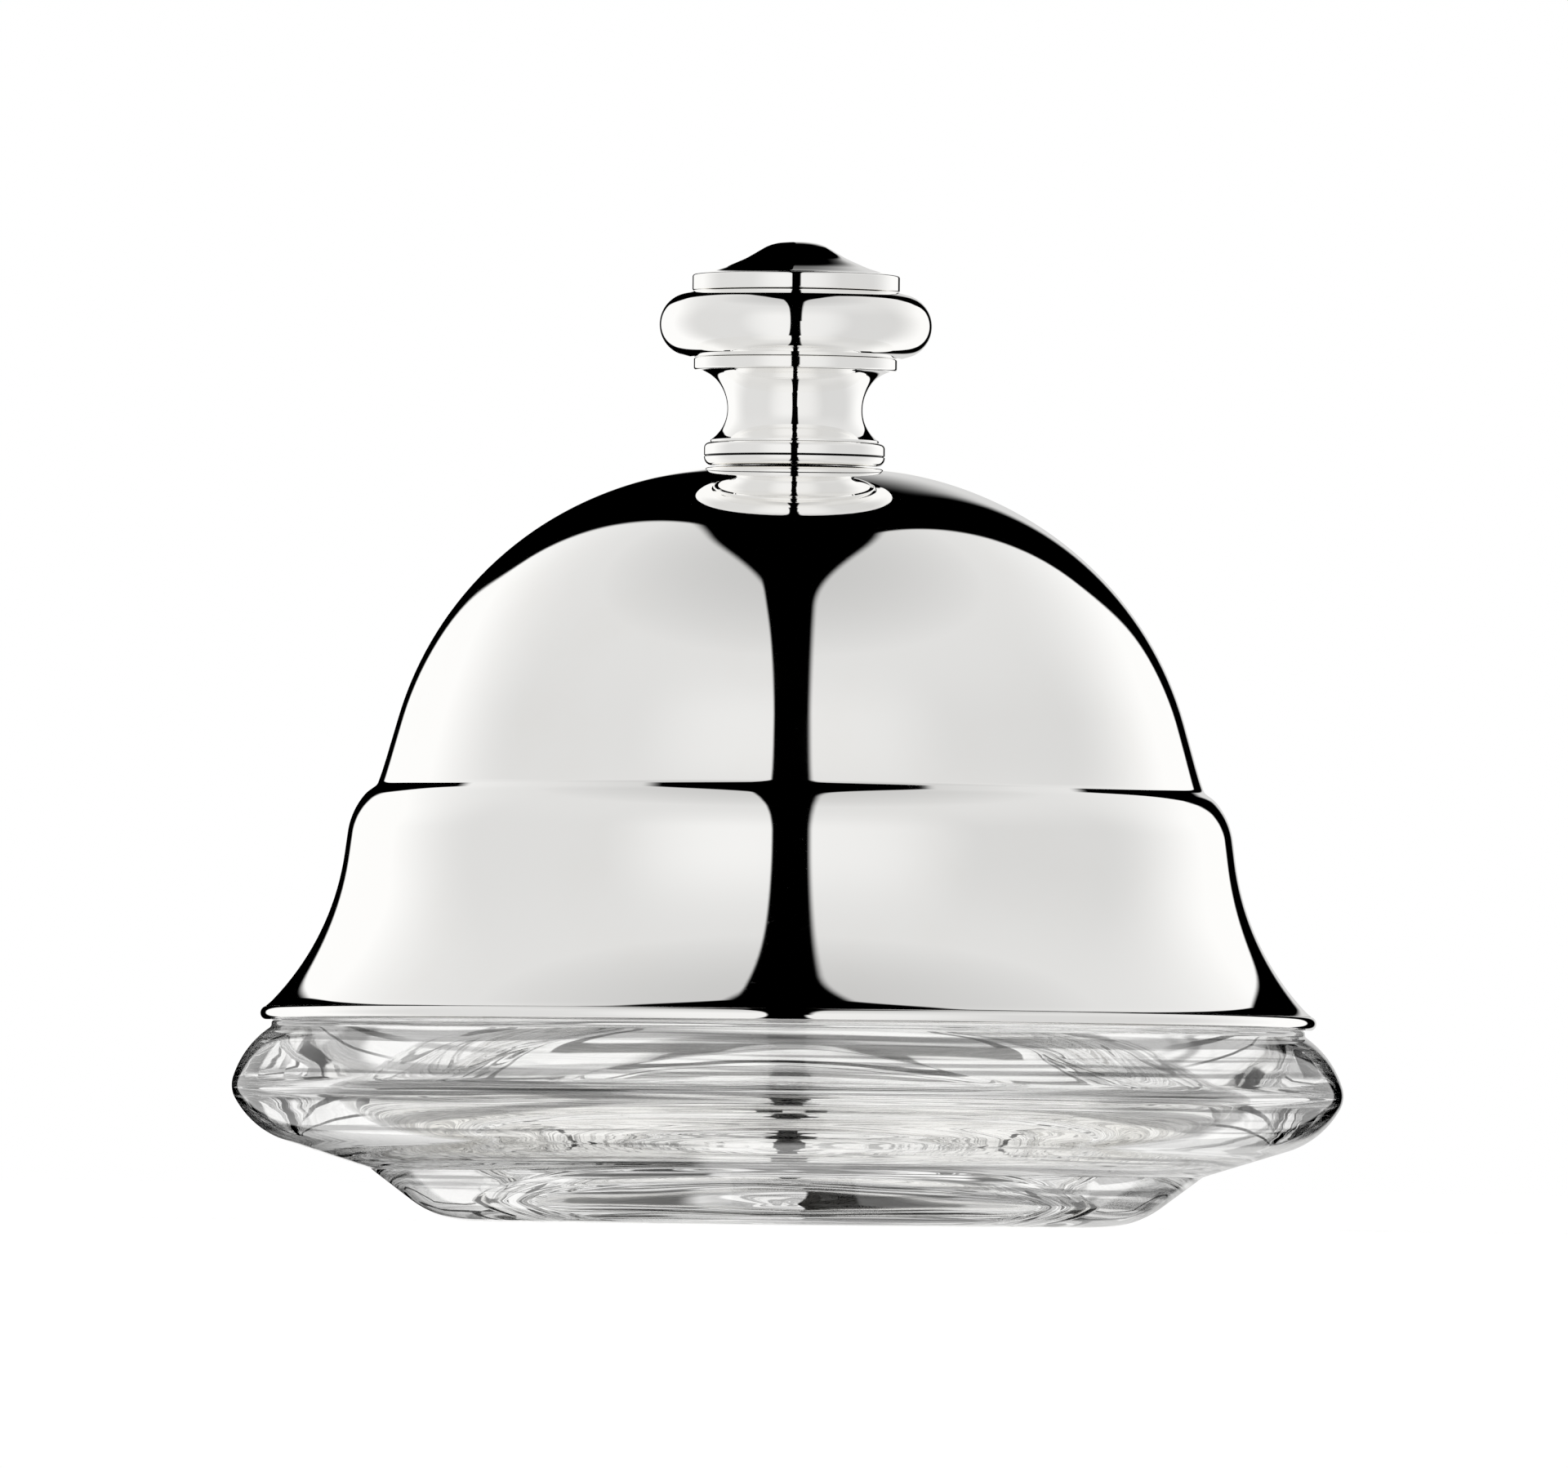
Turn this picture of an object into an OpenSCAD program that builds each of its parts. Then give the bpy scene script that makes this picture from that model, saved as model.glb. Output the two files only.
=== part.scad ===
// Table cloche: a spun, silver-plated cover with a turned knob, resting on a pressed crystal dish.
// Every piece is a body of revolution about Z unless its module says otherwise.
// Origin: centre of the dish's foot, on the table. +Z is up. Millimetres.

/* [Dish] */
// Radius of the flat foot ring's outer edge
foot_r = 35.3; // [33:0.1:37]
// Height of the ledge that the cover rests on
seat_z = 22.38; // [22.2:0.02:22.6]
// Outer radius of the lip that keeps the cover centred
lip_r = 56.2; // [55:0.1:56.4]
// Height of the lip above the ledge
lip_h = 2.2; // [1.6:0.1:2.6]
// Thickness of the lip
lip_t = 3.4; // [3:0.1:4]
// Height of the well's floor above the table
floor_z = 8.2; // [6:0.1:10]
// Radius of the curve between the well's wall and floor
well_fillet = 6; // [4:0.5:9]
// Draft of the well's wall, in degrees
well_draft = 6; // [3:0.5:8]
// Radius of the recess under the dish
recess_r = 24; // [20:0.5:26]
// Depth of the recess under the dish
recess_h = 1.8; // [1:0.1:2.5]

/* [Cover] */
// Thickness of the spun metal
wall_t = 0.9; // [0.7:0.05:1.1]
// Radius of the cover's skin where it meets the rim band
mouth_r = 59.2; // [59.1:0.02:59.3]
// Height of that edge above the table
mouth_z = 23.8; // [23.76:0.02:23.84]
// Radius of the concave sweep of the skirt
flare_r = 30.1; // [29.5:0.1:31]
// Radius of the tighter curl at the foot of the skirt
curl_r = 6; // [5.5:0.1:6.5]
// Radius of the rounded shoulder above the skirt
shoulder_r = 8.3; // [8:0.1:8.6]
// Radius where the shoulder rolls over into the crease
roll_r = 3.5; // [3:0.1:4]
// Radius of the dome's side
dome_side_r = 39.1; // [38:0.1:40]
// Radius of the dome's crown
dome_crown_r = 43.3; // [42:0.1:45]

/* [Rim band] */
// Radius of the bead's centre line
bead_line_r = 58.65; // [58.6:0.01:58.7]
// Radius of the bead's own section
bead_r = 0.8; // [0.76:0.01:0.84]
// Width of the flat that rests on the dish, inside the bead
band_w = 1.6; // [1:0.1:1.8]

/* [Knob] */
// Radius of the ring that stands on the dome
foot_ring_r = 10.2; // [10:0.1:10.4]
// Height of the foot ring
foot_ring_h = 2.65; // [2.2:0.05:2.8]
// Radius of the neck's lower end
neck_r = 9.5; // [9:0.1:9.6]
// Radius of the lower half of the neck's hollow
waist_sweep_r = 4.2; // [4:0.1:4.4]
// Radius of the thin ring below the grip
lower_ring_r = 11.45; // [11.2:0.05:12]
// Height of the thin ring below the grip
lower_ring_h = 1.4; // [1:0.05:1.6]
// Radius of the grip
grip_r = 15.35; // [14:0.05:16]
// Height of the grip
grip_h = 7.4; // [7:0.05:7.6]
// Slope of the grip's shoulders, in degrees
grip_slope = 17; // [12:1:22]
// Radius of the thin ring above the grip
upper_ring_r = 11.7; // [11.5:0.1:12.5]
// Height of the thin ring above the grip
upper_ring_h = 1.95; // [1.6:0.05:2.2]

/* [Fixing] */
// Diameter of the threaded stud
stud_d = 4; // [3:0.5:5]
// Width across the flats of the cap nut
nut_af = 7; // [7:0.5:9]

/* [Hidden] */
$fn = 96;

silver = "gainsboro";
crystal = [0.85, 0.9, 0.92, 0.35];
steel = "slategray";

arc_step = 4;        // degrees of turn in each chord of a curve
small_arc_step = 10; // the same, for a curve under small_arc_r
small_arc_r = 1;
gap = 0.02;          // space between faces that rest on each other
bore_r = stud_d / 2 + 0.2;
edge_r = 0.3;        // rounding of small turned edges

// Directions that the skin takes, in degrees above horizontal, seen from outside to the axis
mouth_turn = 148;
curl_turn = 15;
flare_turn = 35.4;
shoulder_turn = 31.7;
roll_turn = 14.7;
crease_r = 0.9;
low_wall_r = 40;     // slight hollow of the dome's wall just above the crease
low_wall_turn = 4;
wall_lean = 15.8;    // lean of the dome's wall from the vertical
side_turn = 46.4;
crown_turn = 19.4;
crease_turn = mouth_turn - curl_turn - flare_turn + shoulder_turn + roll_turn
    - 90 - wall_lean - low_wall_turn;

skin_moves = [
    [curl_r, -curl_turn], [flare_r, -flare_turn], [2.5], [shoulder_r, shoulder_turn],
    [roll_r, roll_turn], [0.72], [crease_r, -crease_turn], [low_wall_r, -low_wall_turn],
    [4.98], [dome_side_r, side_turn], [dome_crown_r, crown_turn]];

skin_start = [mouth_r, mouth_z];
skin_out = path(skin_start, mouth_turn, skin_moves);
skin_top = skin_out[len(skin_out) - 1];
inner_start = skin_start + wall_t * left_of(mouth_turn);
skin_in = path(inner_start, mouth_turn, offset_moves(skin_moves, wall_t));
pad_z = skin_top[1];
pad_under_z = pad_z - wall_t;

// Heights of the knob's pieces, each standing on the one below
foot_ring_z = pad_z + gap;
neck_z = foot_ring_z + foot_ring_h + gap;
neck_moves = [[waist_sweep_r, -56.4], [5, -35], [3.8, -40]];
neck_side = path([neck_r, neck_z + 0.25], 146.4, neck_moves);
neck_h = neck_side[len(neck_side) - 1][1] - neck_z;
lower_ring_z = neck_z + neck_h + gap;
grip_z = lower_ring_z + lower_ring_h + gap;
upper_ring_z = grip_z + grip_h + gap;
cap_z = upper_ring_z + upper_ring_h + gap;

// Heights of the fixing, each piece hanging under the one above
plate_h = 1.2;
plate_r = 9;
washer_h = 1;
washer_r = 3.6;
plate_z = pad_under_z - gap - plate_h;
washer_z = plate_z - gap - washer_h;
nut_h = 3.2;
nut_dome_h = 4.4;
nut_top_z = washer_z - gap;
stud_low_z = nut_top_z - 5.6;
stud_high_z = cap_z + 2;

function dir(a) = [cos(a), sin(a)];
function left_of(a) = [-sin(a), cos(a)];

// The points of one move: [length] runs straight, and [radius, turn] is an arc that turns left for a positive turn.
function move_points(p, a, m) =
    len(m) == 1 ? [p + m[0] * dir(a)] :
    let (
        s = sign(m[1]),
        c = p + s * m[0] * left_of(a),
        n = max(2, ceil(abs(m[1]) / (m[0] < small_arc_r ? small_arc_step : arc_step))))
    [for (i = [1 : n]) c - s * m[0] * left_of(a + m[1] * i / n)];

// The start, and the points of a run of moves, each starting where the last one ended and in its direction.
function path(p, a, moves, i = 0) =
    i == len(moves) ? [p] :
    let (pts = move_points(p, a, moves[i]), turn = len(moves[i]) == 2 ? moves[i][1] : 0)
    concat([p], all_but_last(pts), path(pts[len(pts) - 1], a + turn, moves, i + 1));

function all_but_last(list) = [for (i = [0 : 1 : len(list) - 2]) list[i]];

// The same moves, run at a distance t to their left.
function offset_moves(moves, t) = [for (m = moves) len(m) == 1 ? m : [m[0] - sign(m[1]) * t, m[1]]];

function reversed(list) = [for (i = [len(list) - 1 : -1 : 0]) list[i]];

// A turned ring between two heights, bored for the stud, with its outer edges rounded.
module turned_ring(r, z, h, low_edge, high_edge) {
    rotate_extrude()
        polygon(concat(
            [[bore_r, z]],
            path([r - low_edge, z], 0, [[low_edge, 90], [h - low_edge - high_edge], [high_edge, 90]]),
            [[bore_r, z + h]]));
}

// Pressed crystal dish: foot ring, knuckle, rolled side, ledge for the cover, centring lip and well.
module glass_dish() {
    side = path([foot_r, 0], 0, [
        [11.6, 37], [5.6], [0.8, -19.5], [9.8], [10.2, 43.6], [3.1, 45.9], [10.6, 38], [0.5, -55]]);
    neck_r = side[len(side) - 1][0];
    ledge = path([neck_r, seat_z - edge_r], 90, [[edge_r, 90]]);
    lip_round = lip_t / 2;
    lip = path([lip_r, seat_z], 90, [[lip_h - lip_round], [lip_round, 180]]);
    fillet_z = floor_z + well_fillet * (1 - sin(well_draft));
    fillet_r = lip_r - lip_t - (seat_z + lip_h - lip_round - fillet_z) * tan(well_draft);
    well = path([fillet_r, fillet_z], 270 - well_draft, [[well_fillet, well_draft - 90]]);
    recess = path([recess_r, recess_h], 0, [[4, -34]]);
    recess_end = recess[len(recess) - 1];
    color(crystal)
        rotate_extrude()
            polygon(concat(
                [[0, recess_h]], recess, [[recess_end[0] + recess_end[1] * 1.2, 0]],
                side, ledge, lip, well, [[0, floor_z]]));
}

// Spun shell of the cover: flared skirt, shoulder, crease and dome, with a flat pad for the knob.
module cover_shell() {
    color(silver)
        difference() {
            rotate_extrude()
                polygon(concat(skin_out, [[bore_r, pad_z], [bore_r, pad_under_z]], reversed(skin_in)));
            rotate_extrude()
                translate([bead_line_r, seat_z + gap + bead_r]) circle(r = bead_r + gap);
        }
}

// Band soldered round the mouth: a bead outside and a flat foot inside.
module rim_band() {
    z = seat_z + gap;
    color(silver)
        rotate_extrude()
            polygon(concat(
                [[bead_line_r - band_w, z]],
                path([bead_line_r, z], 0, [[bead_r, 290]]),
                [[bead_line_r - band_w, z + bead_r * 0.5]]));
}

// Low ring that the knob stands on, with a rounded foot and a fine turned line above it.
module foot_ring() {
    r = foot_ring_r;
    z = foot_ring_z;
    foot_round = 1;
    line_z = z + foot_round + 0.05;
    line_w = 0.16;
    color(silver)
        rotate_extrude()
            polygon(concat(
                [[bore_r, z]],
                path([r - foot_round, z], 0, [[foot_round, 90]]),
                [[r, line_z], [r - line_w, line_z + line_w / 2], [r, line_z + line_w]],
                path([r, z + foot_ring_h - 0.6], 90, [[0.6, 90]]),
                [[bore_r, z + foot_ring_h]]));
}

// Neck with a hollow waist, its upper half opening more slowly than its lower half.
module waisted_neck() {
    color(silver)
        rotate_extrude()
            polygon(concat(
                [[bore_r, neck_z], [neck_r, neck_z]],
                neck_side,
                [[bore_r, neck_z + neck_h]]));
}

// Thin ring between the neck and the grip.
module lower_ring() {
    color(silver) turned_ring(lower_ring_r, lower_ring_z, lower_ring_h, edge_r, 0.2);
}

// Cushion-shaped grip: sloping shoulders, and a side that is half a round.
module grip_ring() {
    shoulder = 0.9;
    side_r = (grip_h / 2 - shoulder * sin(grip_slope)) / cos(grip_slope);
    start_r = grip_r - side_r * (1 - sin(grip_slope)) - shoulder * cos(grip_slope);
    side_turn = 90 - grip_slope;
    color(silver)
        rotate_extrude()
            polygon(concat(
                [[bore_r, grip_z]],
                path([start_r, grip_z], grip_slope, [[shoulder], [side_r, side_turn * 2], [shoulder]]),
                [[bore_r, grip_z + grip_h]]));
}

// Thin ring between the grip and the cap.
module upper_ring() {
    color(silver) turned_ring(upper_ring_r, upper_ring_z, upper_ring_h, 0.2, edge_r);
}

// Ogee cap, threaded inside to take the stud's upper end.
module finial_cap() {
    ogee = path([11.25, cap_z], 169.6, [[20.5, -22.3], [5, 32.7]]);
    crown_z = ogee[len(ogee) - 1][1];
    color(silver)
        difference() {
            rotate_extrude() polygon(concat([[0, cap_z]], ogee, [[0, crown_z]]));
            translate([0, 0, cap_z - 1]) cylinder(r = stud_d / 2 + gap, h = stud_high_z + gap - cap_z + 1);
        }
}

// Threaded stud that ties the knob to the dome.
module stud() {
    chamfer = 0.5;
    r = stud_d / 2;
    color(steel)
        rotate_extrude()
            polygon([
                [0, stud_low_z], [r - chamfer, stud_low_z], [r, stud_low_z + chamfer],
                [r, stud_high_z - chamfer], [r - chamfer, stud_high_z], [0, stud_high_z]]);
}

// Flat plate that spreads the nut's pull under the dome's pad.
module backing_plate() {
    color(steel) turned_ring(plate_r, plate_z, plate_h, edge_r, edge_r);
}

// Split spring washer.
module lock_washer() {
    split_w = 0.8;
    color(steel)
        difference() {
            translate([0, 0, washer_z]) cylinder(r = washer_r, h = washer_h);
            translate([0, 0, washer_z - 1]) cylinder(r = bore_r, h = washer_h + 2);
            translate([0, -split_w / 2, washer_z - 1]) cube([washer_r + 1, split_w, washer_h + 2]);
        }
}

// Hexagonal cap nut, closed below so that no thread end faces the food.
module cap_nut() {
    r = nut_af / 2 / cos(30);
    dome_r = nut_af / 2 - 0.2;
    low_z = nut_top_z - nut_h;
    color(steel)
        difference() {
            union() {
                translate([0, 0, low_z]) cylinder(r = r, h = nut_h, $fn = 6);
                rotate_extrude()
                    polygon(concat(
                        [[0, low_z + 0.5], [dome_r, low_z + 0.5]],
                        [for (a = [0 : 6 : 90]) [dome_r * cos(a), low_z - nut_dome_h * sin(a)]]));
            }
            translate([0, 0, stud_low_z - gap]) cylinder(r = stud_d / 2 + gap, h = nut_top_z - stud_low_z + 1);
        }
}

glass_dish();
cover_shell();
rim_band();
foot_ring();
waisted_neck();
lower_ring();
grip_ring();
upper_ring();
finial_cap();
stud();
backing_plate();
lock_washer();
cap_nut();
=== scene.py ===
"""Table cloche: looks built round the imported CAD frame. Metres, +Z up, the photographed side faces -Y."""

import math

import bpy
import numpy as np
from mathutils import Matrix, Vector


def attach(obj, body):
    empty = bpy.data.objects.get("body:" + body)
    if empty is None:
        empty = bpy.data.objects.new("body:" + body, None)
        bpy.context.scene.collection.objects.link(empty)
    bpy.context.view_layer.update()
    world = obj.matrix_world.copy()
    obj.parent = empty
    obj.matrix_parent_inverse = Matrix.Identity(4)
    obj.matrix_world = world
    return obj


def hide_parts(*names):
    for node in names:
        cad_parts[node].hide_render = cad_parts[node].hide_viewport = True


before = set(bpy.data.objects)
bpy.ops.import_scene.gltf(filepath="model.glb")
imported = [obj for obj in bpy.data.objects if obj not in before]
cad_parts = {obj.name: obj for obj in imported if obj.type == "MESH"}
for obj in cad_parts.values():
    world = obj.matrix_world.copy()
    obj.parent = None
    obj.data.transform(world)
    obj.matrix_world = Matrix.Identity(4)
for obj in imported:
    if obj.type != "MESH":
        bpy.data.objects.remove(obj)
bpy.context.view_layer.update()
scene = bpy.context.scene

MM = 0.001
SILVER, CRYSTAL, STEEL = "silver_plate", "crystal", "steel_hardware"


# ---------------------------------------------------------------- sections read from the frame

SAME_POINT = 3e-6  # metres; corners of a section closer than this are one corner
ON_AXIS = 1e-6  # metres; a point nearer to the axis than this is on it
FLAT_DEG = 0.5  # a smaller turn is a point along a straight stretch
CORNER_DEG = 15.0  # a larger turn is an edge; the CAD's curves turn 10 degrees a chord at most
STRAIGHT = 1e-5  # radians; a chord whose curve turns less than this to either side is straight
EVENNESS = 0.02  # weight of an even curvature against the turns that are known
EDGE_SHARE = 0.45  # the most that rounding an edge takes of the straight length beside it
MAX_TURN, MAX_STEP = math.radians(2.0), 1.4 * MM  # of one step along a smoothed curve


def merged_corners(rz):
    """The distinct points among rz, and for each point of rz the index of its corner."""
    which, corners, cells = [], [], {}
    for p in rz:
        x, z = np.floor(p / SAME_POINT).astype(int)
        near = [j for dx in (-1, 0, 1) for dz in (-1, 0, 1) for j in cells.get((x + dx, z + dz), ())]
        same = [j for j in near if np.hypot(*(corners[j] - p)) < SAME_POINT]
        if not same:
            same = [len(corners)]
            corners.append(p)
            cells.setdefault((x, z), []).append(same[0])
        which.append(same[0])
    return corners, which


def section(node):
    """The node's half section as (r, z) points in order, read from its mesh, and whether it is a loop."""
    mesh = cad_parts[node].data
    co = np.array([v.co for v in mesh.vertices], float)
    corners, which = merged_corners(np.stack([np.hypot(co[:, 0], co[:, 1]), co[:, 2]], 1))
    joined = [set() for _ in corners]
    for e in mesh.edges:
        a, b = which[e.vertices[0]], which[e.vertices[1]]
        if a != b:
            joined[a].add(b)
            joined[b].add(a)
    ends = [i for i, near in enumerate(joined) if len(near) == 1]
    order = [ends[0] if ends else 0]
    while True:
        last = order[-1]
        step = [j for j in joined[last] if j not in order]
        if not step:
            break
        # a flat face's triangles may also join points that are not neighbours, so the nearest comes next
        order.append(min(step, key=lambda j: (np.hypot(*(corners[j] - corners[last])), j)))
    points = np.array([corners[i] for i in order])
    if ends:
        low, high = points[0], points[-1]
        if low[0] > ON_AXIS:
            points = np.vstack([[0.0, low[1]], points])
        if high[0] > ON_AXIS:
            points = np.vstack([points, [0.0, high[1]]])
    return points, not ends


def least_turn(degrees):
    """The same turn between -180 and 180 degrees."""
    return (degrees + 180.0) % 360.0 - 180.0


def headings(points, closed):
    """Each step's direction, in degrees, and its length."""
    step = np.roll(points, -1, 0) - points if closed else np.diff(points, axis=0)
    return np.degrees(np.unwrap(np.arctan2(step[:, 1], step[:, 0]))), np.hypot(step[:, 0], step[:, 1])


def turns(points, closed):
    """The turn at each point, in degrees, left positive."""
    head, _ = headings(points, closed)
    if closed:
        return least_turn(head - np.roll(head, 1))
    out = np.zeros(len(points))
    out[1:-1] = least_turn(np.diff(head))
    return out


def half_turns(run):
    """How far the curve under each chord of a smooth run turns to either side of it, in radians.

    Neighbouring chords' half turns add up to the turn between them. What that leaves open is settled
    by keeping the curvature as even as it will go. A known fault: a long flat stretch that runs smoothly
    into a curve is given a share of the turn too, and ends up bent by as much as 0.5 mm."""
    head, length = headings(run, False)
    n = len(length)
    if n == 1:
        return np.zeros(1)
    bend = np.radians(least_turn(np.diff(head)))
    rows, target = np.zeros((2 * (n - 1), n)), np.zeros(2 * (n - 1))
    for i in range(n - 1):
        rows[i, i] = rows[i, i + 1] = 1.0
        target[i] = bend[i]
        even = EVENNESS * min(length[i], length[i + 1])
        rows[n - 1 + i, i], rows[n - 1 + i, i + 1] = even / length[i], -even / length[i + 1]
    return np.linalg.lstsq(rows, target, rcond=None)[0]


def curved(run):
    """The run with each chord replaced by its arc, finely divided."""
    out = [run[0]]
    for p, q, half in zip(run[:-1], run[1:], half_turns(run)):
        along = q - p
        length = math.hypot(*along)
        count = max(1, math.ceil(2 * abs(half) / MAX_TURN), math.ceil(length / MAX_STEP))
        side = np.array([along[1], -along[0]]) / length
        middle = (p + q) / 2
        for i in range(1, count):
            if abs(half) < STRAIGHT:
                out.append(p + along * i / count)
                continue
            radius = length / 2 / math.sin(half)
            a = half * (2 * i / count - 1)
            rise = math.cos(a) - math.cos(half)
            out.append(middle + along / length * radius * math.sin(a) + side * radius * rise)
        out.append(q)
    return np.array(out)


def smooth_runs(points, closed):
    """The section cut at its edges, each part between two edges as a smooth curve."""
    keep = np.abs(turns(points, closed)) > FLAT_DEG
    if not closed:
        keep[[0, -1]] = True
    points = points[keep]
    sharp = np.where(np.abs(turns(points, closed)) > CORNER_DEG)[0]
    if closed:
        points = np.roll(points, -sharp[0], 0)
        points = np.vstack([points, points[:1]])
        cuts = list(sharp - sharp[0]) + [len(points) - 1]
    else:
        cuts = [0] + list(sharp) + [len(points) - 1]
    return [curved(points[a : b + 1]) for a, b in zip(cuts[:-1], cuts[1:]) if b > a]


def rounded_corner(corner, before, after, edge_r):
    """A small curve in place of a corner, given the points before and after it."""
    a, b = before - corner, after - corner
    la, lb = math.hypot(*a), math.hypot(*b)
    cut = min(edge_r, EDGE_SHARE * la, EDGE_SHARE * lb)
    start, end = corner + a / la * cut, corner + b / lb * cut
    steps = (0.0, 0.25, 0.5, 0.75, 1.0)
    return [(1 - t) ** 2 * start + 2 * t * (1 - t) * corner + t * t * end for t in steps]


def outline(node, edge_r):
    """The node's section with its curves made smooth and its edges rounded by edge_r."""
    points, closed = section(node)
    runs = smooth_runs(points, closed)
    out = [] if closed else [runs[0][0]]
    for i, run in enumerate(runs):
        out.extend(run[1:-1])
        if i == len(runs) - 1 and not closed:
            out.append(run[-1])
        else:
            out.extend(rounded_corner(run[-1], run[-2], runs[(i + 1) % len(runs)][1], edge_r))
    # curves bulge past their chords, and bent flat stretches by up to 0.3 mm, so the outline is drawn in
    # to the node's own height and width
    out = np.array(out)
    low, high = points.min(0), points.max(0)
    out[:, 0] *= min(1.0, high[0] / out[:, 0].max())
    out[:, 1] = np.interp(out[:, 1], (out[:, 1].min(), out[:, 1].max()), (low[1], high[1]))
    return out, closed


# ---------------------------------------------------------------- pieces

SEGMENTS = 256  # steps round each lathe


def lathe(name, points, closed):
    """The section's points turned about Z, with a single vertex where the section meets the axis."""
    angle = np.linspace(0.0, 2 * math.pi, SEGMENTS, endpoint=False)
    co, rings = [], []
    for r, z in points:
        if r < ON_AXIS:
            rings.append([len(co)] * SEGMENTS)
            co.append((0.0, 0.0, z))
        else:
            rings.append(list(range(len(co), len(co) + SEGMENTS)))
            co.extend(zip(r * np.cos(angle), r * np.sin(angle), [z] * SEGMENTS))
    pairs = list(zip(rings[:-1], rings[1:]))
    if closed:
        pairs.append((rings[-1], rings[0]))
    area = sum(p[0] * q[1] - q[0] * p[1] for p, q in zip(points, np.roll(points, -1, 0)))
    faces = []
    for low, high in pairs:
        if low[0] == low[1] and high[0] == high[1]:
            continue
        for i in range(SEGMENTS):
            j = (i + 1) % SEGMENTS
            face = [low[i], low[j], high[j], high[i]]
            face = [v for k, v in enumerate(face) if v != face[k - 1]]
            faces.append(face if area > 0 else face[::-1])
    mesh = bpy.data.meshes.new(name)
    mesh.from_pydata(co, [], faces)
    mesh.validate()
    for p in mesh.polygons:
        p.use_smooth = True
    mesh.update()
    obj = bpy.data.objects.new(name, mesh)
    scene.collection.objects.link(obj)
    return obj


def turned(name, node, material, body, edge_r):
    """The node's shape as one smooth lathe that stands for it."""
    obj = lathe(name, *outline(node, edge_r))
    obj.data.materials.append(material)
    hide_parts(node)
    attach(obj, body)


# ---------------------------------------------------------------- shader nodes


def feed(nt, value, socket):
    """Set the socket to a number or a colour, or link an output to it."""
    if isinstance(value, (int, float)):
        socket.default_value = value
    elif isinstance(value, tuple):
        socket.default_value = (*value, 1.0)
    else:
        nt.links.new(value, socket)


def new_node(nt, kind, **values):
    """A new node, with its input sockets set by name or fed from an output."""
    n = nt.nodes.new(kind)
    for key, value in values.items():
        feed(nt, value, n.inputs[key.replace("_", " ")])
    return n


def mathn(nt, op, a, b=0.0, c=0.0):
    n = nt.nodes.new("ShaderNodeMath")
    n.operation = op
    for value, socket in zip((a, b, c), n.inputs):
        feed(nt, value, socket)
    return n.outputs[0]


def plus(nt, a, b):
    return mathn(nt, "ADD", a, b)


def minus(nt, a, b):
    return mathn(nt, "SUBTRACT", a, b)


def times(nt, a, b):
    return mathn(nt, "MULTIPLY", a, b)


def larger(nt, a, b):
    return mathn(nt, "MAXIMUM", a, b)


def magnitude(nt, a, b):
    return mathn(nt, "SQRT", plus(nt, times(nt, a, a), times(nt, b, b)))


def ramp(nt, value, lo, hi, out_lo=0.0, out_hi=1.0, smooth=True):
    """From out_lo where the value is lo to out_hi where it is hi; lo may be the larger of the two."""
    if hi < lo:
        lo, hi, out_lo, out_hi = hi, lo, out_hi, out_lo
    limits = {"From_Min": lo, "From_Max": hi, "To_Min": out_lo, "To_Max": out_hi}
    n = new_node(nt, "ShaderNodeMapRange", Value=value, **limits)
    n.interpolation_type = "SMOOTHSTEP" if smooth else "LINEAR"
    return n.outputs["Result"]


def noise(nt, place, scale, detail, rough):
    n = new_node(nt, "ShaderNodeTexNoise", Vector=place, Scale=scale, Detail=detail, Roughness=rough)
    return n.outputs["Fac"]


def colour_mix(nt, factor, a, b):
    n = nt.nodes.new("ShaderNodeMix")
    n.data_type = "RGBA"
    for value, place in ((factor, 0), (a, 6), (b, 7)):  # places of a Mix node's factor and colours
        feed(nt, value, n.inputs[place])
    return n.outputs[2]


def either(nt, factor, a, b):
    """Shader a where the factor is 0, and b where it is 1."""
    n = nt.nodes.new("ShaderNodeMixShader")
    for value, socket in zip((factor, a, b), n.inputs):
        nt.links.new(value, socket)
    return n.outputs[0]


def joined_xyz(nt, x, y, z):
    return new_node(nt, "ShaderNodeCombineXYZ", X=x, Y=y, Z=z).outputs[0]


def components(nt, place):
    return new_node(nt, "ShaderNodeSeparateXYZ", Vector=place).outputs


def object_place(nt):
    """Object coordinates, then the angle, radius and height about the piece's axis."""
    coord = nt.nodes.new("ShaderNodeTexCoord").outputs["Object"]
    x, y, z = components(nt, coord)
    return coord, mathn(nt, "ARCTAN2", y, x), magnitude(nt, x, y), z


def turned_marks(nt, around, out_and_up):
    """Coordinates for marks that run round the axis: the smaller around is, the longer they are."""
    _, angle, radius, z = object_place(nt)
    radius, z = times(nt, radius, out_and_up), times(nt, z, out_and_up)
    return joined_xyz(nt, times(nt, angle, around), radius, z)


# ---------------------------------------------------------------- materials


def new_material(name):
    mat = bpy.data.materials.new(name)
    mat.use_nodes = True
    nt = mat.node_tree
    nt.nodes.clear()
    out = nt.nodes.new("ShaderNodeOutputMaterial")
    return mat, nt, out


def principled(nt, out, height, strength, distance, **values):
    """A Principled shader as the material's surface, bumped by the height."""
    bump = new_node(nt, "ShaderNodeBump", Height=height, Strength=strength, Distance=distance)
    bsdf = new_node(nt, "ShaderNodeBsdfPrincipled", Normal=bump.outputs[0], **values)
    nt.links.new(bsdf.outputs[0], out.inputs["Surface"])


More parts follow.
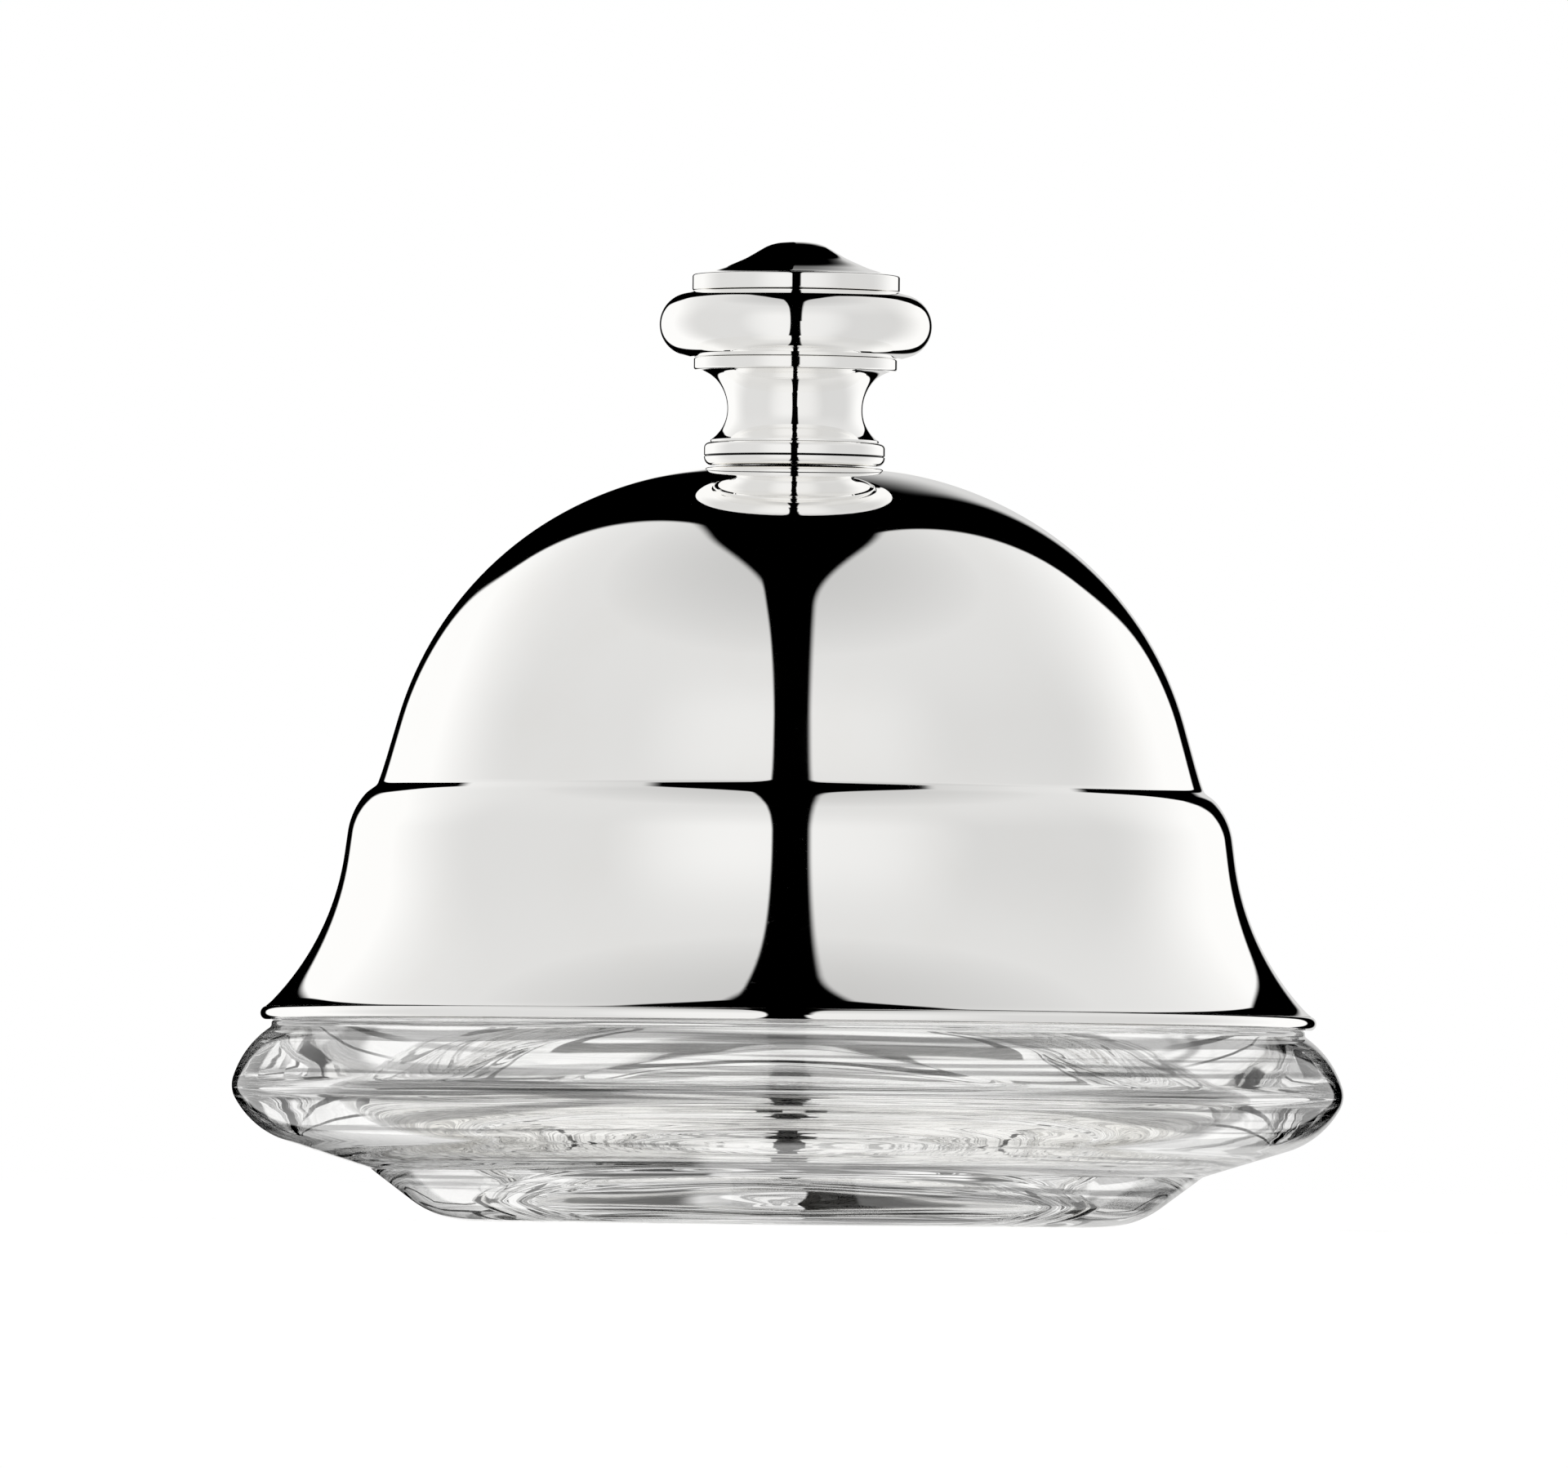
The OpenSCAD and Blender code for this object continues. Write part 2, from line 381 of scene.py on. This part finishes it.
def silver_material(name, groove_z=None):
    """Polished silver; with groove_z, the turned line at that height gets a band of painted shade."""
    mat, nt, out = new_material(name)
    coord, _, _, z = object_place(nt)
    lines = noise(nt, turned_marks(nt, 0.02, 9.0), scale=260.0, detail=4.0, rough=0.6)
    hairs = noise(nt, turned_marks(nt, 0.6, 30.0), scale=90.0, detail=2.0, rough=0.7)
    haze = noise(nt, coord, scale=55.0, detail=4.0, rough=0.6)
    planish = noise(nt, coord, scale=34.0, detail=1.0, rough=0.4)
    bright, dull, groove_shade = (0.985, 0.982, 0.974), (0.955, 0.945, 0.925), (0.01, 0.01, 0.01)
    colour = colour_mix(nt, ramp(nt, haze, 0.45, 0.8, 0.0, 0.5), bright, dull)
    # painted shade: a near-black band round the turned line at groove_z, standing in for the shade in the
    # groove
    if groove_z is not None:
        off = mathn(nt, "ABSOLUTE", minus(nt, z, groove_z))
        colour = colour_mix(nt, ramp(nt, off, 0.14 * MM, 0.11 * MM), colour, groove_shade)
    rough = plus(nt, ramp(nt, haze, 0.35, 0.8, 0.012, 0.04), ramp(nt, hairs, 0.62, 0.8, 0.0, 0.05))
    height = mathn(nt, "MULTIPLY_ADD", lines, 0.008, planish)
    principled(nt, out, height, 0.35, 0.06 * MM, Base_Color=colour, Roughness=rough, Metallic=1.0)
    return mat


def crystal_material():
    """Clear pressed glass with flow lines long round the dish, short up it and drifting a little, and painted
    grey reflections.
    """
    mat, nt, out = new_material("crystal")
    coord, angle, radius, z = object_place(nt)
    drift = noise(nt, coord, scale=35.0, detail=0.0, rough=0.4)
    flow_z = mathn(nt, "MULTIPLY_ADD", drift, 0.002, z)
    flow = joined_xyz(nt, times(nt, angle, 0.002), times(nt, radius, 0.3), flow_z)
    swirl = noise(nt, flow, scale=420.0, detail=0.0, rough=0.45)
    ripple = noise(nt, coord, scale=30.0, detail=0.0, rough=0.4)
    streak_z = mathn(nt, "MULTIPLY_ADD", drift, 0.0012, z)
    streak_at = joined_xyz(nt, times(nt, angle, 0.0005), times(nt, radius, 0.12), streak_z)
    painted_dark_streaks = noise(nt, streak_at, scale=900.0, detail=2.0, rough=0.6)
    # painted reflection: grey streaks in the glass's colour stand in for dark lines of the studio seen
    # through it
    clear, painted_streak_grey = (0.995, 0.996, 0.994), (0.24, 0.24, 0.24)
    clear_and_painted_streaks = colour_mix(nt, ramp(nt, painted_dark_streaks, 0.53, 0.62), clear, painted_streak_grey)
    rough = ramp(nt, ripple, 0.5, 0.9, 0.0, 0.01)
    height = mathn(nt, "MULTIPLY_ADD", swirl, 0.4, ripple)
    glass = {"Base_Color": clear_and_painted_streaks, "Roughness": rough, "Transmission_Weight": 1.0, "IOR": 1.53}
    principled(nt, out, height, 1.0, 0.13 * MM, **glass)
    return mat


def steel_material():
    """Turned steel, a little grimy."""
    mat, nt, out = new_material("steel_hardware")
    coord, _, _, _ = object_place(nt)
    lines = noise(nt, turned_marks(nt, 0.05, 9.0), scale=300.0, detail=4.0, rough=0.6)
    grime = noise(nt, coord, scale=240.0, detail=4.0, rough=0.6)
    clean, grimy = (0.62, 0.61, 0.59), (0.50, 0.49, 0.47)
    colour = colour_mix(nt, ramp(nt, grime, 0.4, 0.75), clean, grimy)
    rough = ramp(nt, lines, 0.3, 0.7, 0.22, 0.4)
    principled(nt, out, lines, 0.3, 0.03 * MM, Base_Color=colour, Roughness=rough, Metallic=1.0)
    return mat


# ---------------------------------------------------------------- the object

DISH_EDGE_R, COVER_EDGE_R, KNOB_EDGE_R = 0.25 * MM, 0.08 * MM, 0.06 * MM


def groove_height(node):
    """The height of the turned line's bottom, the sharpest corner near the outside of the node."""
    ring, closed = section(node)
    outside = ring[:, 0] > ring[:, 0].max() - 0.3 * MM
    return float(ring[np.argmax(np.abs(turns(ring, closed)) * outside), 1])


silver = silver_material("silver_plate")
lined_silver = silver_material("silver_plate_lined", groove_height("foot_ring"))
turned("crystal_dish", "glass_dish", crystal_material(), "dish", DISH_EDGE_R)
turned("cover_bell", "cover_shell", silver, "cover", COVER_EDGE_R)
turned("cover_rim", "rim_band", silver, "cover", COVER_EDGE_R)
turned("knob_foot", "foot_ring", lined_silver, "cover", KNOB_EDGE_R)
turned("knob_neck", "waisted_neck", silver, "cover", KNOB_EDGE_R)
turned("knob_lower_ring", "lower_ring", silver, "cover", KNOB_EDGE_R)
turned("knob_grip", "grip_ring", silver, "cover", KNOB_EDGE_R)
turned("knob_upper_ring", "upper_ring", silver, "cover", KNOB_EDGE_R)
turned("knob_cap", "finial_cap", silver, "cover", KNOB_EDGE_R)

steel = steel_material()
for node in ("stud", "backing_plate", "lock_washer", "cap_nut"):
    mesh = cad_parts[node].data
    mesh.materials.clear()
    mesh.materials.append(steel)


# ---------------------------------------------------------------- studio

# In pairs of limits, the first is where a change starts and the second is where it is complete.
# A side is the sine of the angle right of the camera's line, a rise that of the angle above the horizon,
# and a bearing is the angle in degrees from straight behind the object.
GAP_LEFT, GAP_RIGHT = (0.079, 0.092), (0.050, 0.070)  # sides, from the black gap to the panels
GAP_LEFT_OVERHEAD, GAP_RIGHT_OVERHEAD = 0.022, 0.015  # how much wider the gap is overhead
GAP_BEHIND = (0.055, 0.19)  # sides, half the gap's width overhead in front of the object and behind it
BLACK_LEFT, BLACK_RIGHT = 17.5, 23.0  # bearings, the black behind the object
SHEET, SLIVER = (2.6, 1.8), (11.5, 8.0)  # bearings, the white backdrop and the dimmer strip right of it
TABLE = (40.0, 25.0)  # bearings, the table as the crystal shows it

# Brightness, where 1 is the brightest white.
PANELS = (0.74, 0.70)  # left and right
FRONT_EXTRA, REAR_EXTRA = 0.17, 0.33  # added beside the gap and behind the object
OVERHEAD = (0.76, 0.60)  # high up, and straight overhead
SLIVER_LIGHT, TABLE_LIGHT = 0.70, 0.62
CRYSTAL_GAIN = 0.85  # how much brighter the tent is through the crystal

# rises of each dark sheet edge below the horizon (low, high), and how dark it is
SHEET_EDGES = (
    (-0.75, -0.66, 0.95),
    (-0.52, -0.45, 0.90),
    (-0.30, -0.25, 0.95),
    (-0.12, -0.09, 0.95),
)


def cosine(degrees):
    return math.cos(math.radians(degrees))


def behind(nt, cos_bearing, limits, brightness=1.0):
    """0 up to the first bearing of the limits, and the brightness inside the second."""
    start, full = limits
    return ramp(nt, cos_bearing, cosine(start), cosine(full), 0.0, brightness)


def camera_directions(nt):
    """A ray's side, its part along the camera's line, and its rise.

    The tent turns with the camera, as it does when a photographer turns the object instead."""
    way = nt.nodes.new("ShaderNodeVectorMath")
    way.operation = "NORMALIZE"
    nt.links.new(nt.nodes.new("ShaderNodeTexCoord").outputs["Generated"], way.inputs[0])
    dx, dy, dz = components(nt, way.outputs[0])

    def from_camera(direction):
        n = nt.nodes.new("ShaderNodeVectorTransform")
        n.vector_type, n.convert_from, n.convert_to = "VECTOR", "CAMERA", "WORLD"
        n.inputs[0].default_value = direction
        return components(nt, n.outputs[0])

    # the camera's upward direction gives the heading of a camera that looks straight down
    ahead, above = from_camera((0, 0, 1)), from_camera((0, 1, 0))
    fx = mathn(nt, "MULTIPLY_ADD", above[0], 0.5, ahead[0])
    fy = mathn(nt, "MULTIPLY_ADD", above[1], 0.5, ahead[1])
    size = magnitude(nt, fx, fy)
    fx, fy = mathn(nt, "DIVIDE", fx, size), mathn(nt, "DIVIDE", fy, size)
    side = minus(nt, times(nt, dx, fy), times(nt, dy, fx))
    along = plus(nt, times(nt, dx, fx), times(nt, dy, fy))
    return side, along, dz


def tent_panels(nt, side, along, rise, cos_bearing, is_right):
    """1 on the white panels left and right, 0 in the black between them, over the top and behind."""
    # the black gap along the camera's line and over the top
    top = mathn(nt, "POWER", mathn(nt, "ABSOLUTE", rise), 8.0)
    left_edge = minus(nt, times(nt, side, -1.0), times(nt, top, GAP_LEFT_OVERHEAD))
    right_edge = minus(nt, side, times(nt, top, GAP_RIGHT_OVERHEAD))
    panel = plus(nt, ramp(nt, left_edge, *GAP_LEFT), ramp(nt, right_edge, *GAP_RIGHT))

    # the black behind the object, which widens upward
    step = cosine(BLACK_RIGHT) - cosine(BLACK_LEFT)
    limit = mathn(nt, "MULTIPLY_ADD", is_right, step, cosine(BLACK_LEFT))
    past = minus(nt, cos_bearing, minus(nt, limit, ramp(nt, rise, 0.20, 0.45, 0.0, 0.045)))
    panel = times(nt, panel, ramp(nt, past, 0.006, -0.006))

    # the gap widens overhead, behind the object
    aside = minus(nt, mathn(nt, "ABSOLUTE", side), ramp(nt, along, -0.30, 0.34, *GAP_BEHIND))
    below = mathn(nt, "LESS_THAN", rise, 0.0)
    return times(nt, panel, larger(nt, ramp(nt, aside, 0.01, 0.04), below))


def tent_brightness(nt, side, rise, cos_bearing):
    """Bright beside the gap and behind, dimmer at the sides and overhead."""
    front = ramp(nt, cos_bearing, -0.60, -0.99, 0.0, FRONT_EXTRA)
    rear = ramp(nt, cos_bearing, 0.0, 0.87, 0.0, REAR_EXTRA)
    low = plus(nt, ramp(nt, side, -0.25, 0.25, *PANELS), plus(nt, front, rear))
    high = ramp(nt, rise, 0.80, 0.99, *OVERHEAD, smooth=False)
    upness = ramp(nt, rise, 0.25, 0.85)
    return plus(nt, times(nt, low, minus(nt, 1.0, upness)), times(nt, high, upness))


def backdrop(nt, rise, cos_bearing, is_right):
    """The white backdrop seen past the object: a narrow strip behind it, and a dimmer one on its right."""
    sheet = times(nt, behind(nt, cos_bearing, SHEET), ramp(nt, rise, 0.30, 0.18))
    sliver = times(nt, behind(nt, cos_bearing, SLIVER, SLIVER_LIGHT), is_right)
    sliver = times(nt, sliver, ramp(nt, rise, 0.60, 0.25))
    return times(nt, larger(nt, sheet, sliver), ramp(nt, rise, -0.8, -0.6))


def through_crystal(nt, light, rise, cos_bearing, through):
    """The light with what only the crystal shows: the table behind the object, and the sheets' edges."""
    table = times(nt, behind(nt, cos_bearing, TABLE), ramp(nt, rise, -0.10, -0.22, 0.0, TABLE_LIGHT))
    light = larger(nt, light, times(nt, table, through))
    edges, blur = 0.0, 0.008
    for low, high, depth in SHEET_EDGES:
        edge = times(nt, ramp(nt, rise, low - blur, low + blur), ramp(nt, rise, high + blur, high - blur))
        edges = mathn(nt, "MULTIPLY_ADD", edge, depth, edges)
    edges = times(nt, edges, times(nt, through, ramp(nt, cos_bearing, 0.0, 0.5)))
    light = times(nt, light, minus(nt, 1.0, edges))
    return times(nt, light, mathn(nt, "MULTIPLY_ADD", through, CRYSTAL_GAIN, 1.0))


def studio_world():
    """White tent panels to the left and right of the camera's line, and plain white for the camera itself."""
    world = bpy.data.worlds.new("studio")
    scene.world = world
    world.use_nodes = True
    nt = world.node_tree
    nt.nodes.clear()
    side, along, rise = camera_directions(nt)
    cos_bearing = mathn(nt, "DIVIDE", along, larger(nt, magnitude(nt, side, along), 1e-4))
    is_right = mathn(nt, "GREATER_THAN", side, 0.0)
    panels = tent_panels(nt, side, along, rise, cos_bearing, is_right)
    light = times(nt, tent_brightness(nt, side, rise, cos_bearing), panels)
    light = larger(nt, light, backdrop(nt, rise, cos_bearing, is_right))
    rays = nt.nodes.new("ShaderNodeLightPath")
    light = through_crystal(nt, light, rise, cos_bearing, rays.outputs["Is Transmission Ray"])

    black, warm_white, white = (0.0, 0.0, 0.0), (1.0, 0.997, 0.988), (1.0, 1.0, 1.0)
    tent = new_node(nt, "ShaderNodeBackground", Color=colour_mix(nt, light, black, warm_white))
    plain = new_node(nt, "ShaderNodeBackground", Color=white)
    out = nt.nodes.new("ShaderNodeOutputWorld")
    seen = either(nt, rays.outputs["Is Camera Ray"], tent.outputs[0], plain.outputs[0])
    nt.links.new(seen, out.inputs["Surface"])
    world.cycles.sampling_method = "MANUAL"
    world.cycles.sample_map_resolution = 512


def studio_floor():
    """A pale floor a hair below the foot, clear from below so that the underside can be looked at."""
    half, drop = 6.0, 0.05 * MM
    mesh = bpy.data.meshes.new("studio_floor")
    corners = [(x, y, 0) for x, y in ((-half, -half), (half, -half), (half, half), (-half, half))]
    mesh.from_pydata(corners, [], [(0, 1, 2, 3)])
    obj = bpy.data.objects.new("studio_floor", mesh)
    scene.collection.objects.link(obj)
    obj.location.z = -drop
    # the photographed metal and glass show the tent below the horizon too, not the table
    obj.visible_glossy = False
    obj.visible_transmission = False
    mat, nt, out = new_material("studio_floor")
    coord = nt.nodes.new("ShaderNodeTexCoord").outputs["Object"]
    grain = noise(nt, coord, scale=900.0, detail=3.0, rough=0.6)
    colour = colour_mix(nt, grain, (0.40, 0.40, 0.40), (0.42, 0.42, 0.42))
    diffuse = new_node(nt, "ShaderNodeBsdfDiffuse", Color=colour)
    glow = new_node(nt, "ShaderNodeEmission", Color=(1.0, 1.0, 1.0), Strength=0.77)
    lit = nt.nodes.new("ShaderNodeAddShader")
    nt.links.new(diffuse.outputs[0], lit.inputs[0])
    nt.links.new(glow.outputs[0], lit.inputs[1])
    clear = nt.nodes.new("ShaderNodeBsdfTransparent")
    from_below = nt.nodes.new("ShaderNodeNewGeometry").outputs["Backfacing"]
    nt.links.new(either(nt, from_below, lit.outputs[0], clear.outputs[0]), out.inputs["Surface"])
    mesh.materials.append(mat)


def studio_camera():
    """Long lens, level with the foot, rolled a little as the photograph is."""
    distance, eye_z, lens = 2.6, 0.006, 530.0
    target = Vector((-0.00084, 0.0, 0.05524))
    roll = math.radians(0.62)
    cam = bpy.data.cameras.new("camera")
    cam.lens, cam.sensor_width, cam.sensor_fit = lens, 36.0, "HORIZONTAL"
    cam.clip_start, cam.clip_end = 0.05, 100.0
    obj = bpy.data.objects.new("camera", cam)
    scene.collection.objects.link(obj)
    obj.location = (target.x, -distance, eye_z)
    facing = (target - obj.location).to_track_quat("-Z", "Y").to_matrix().to_4x4()
    obj.rotation_euler = (facing @ Matrix.Rotation(roll, 4, "Z")).to_euler()
    scene.camera = obj


studio_world()
studio_floor()
studio_camera()
scene.view_settings.view_transform = "Standard"
scene.cycles.max_bounces = 32
scene.cycles.transmission_bounces = 32
scene.cycles.glossy_bounces = 16
scene.cycles.caustics_reflective = True
scene.cycles.caustics_refractive = True
scene.cycles.blur_glossy = 0.0
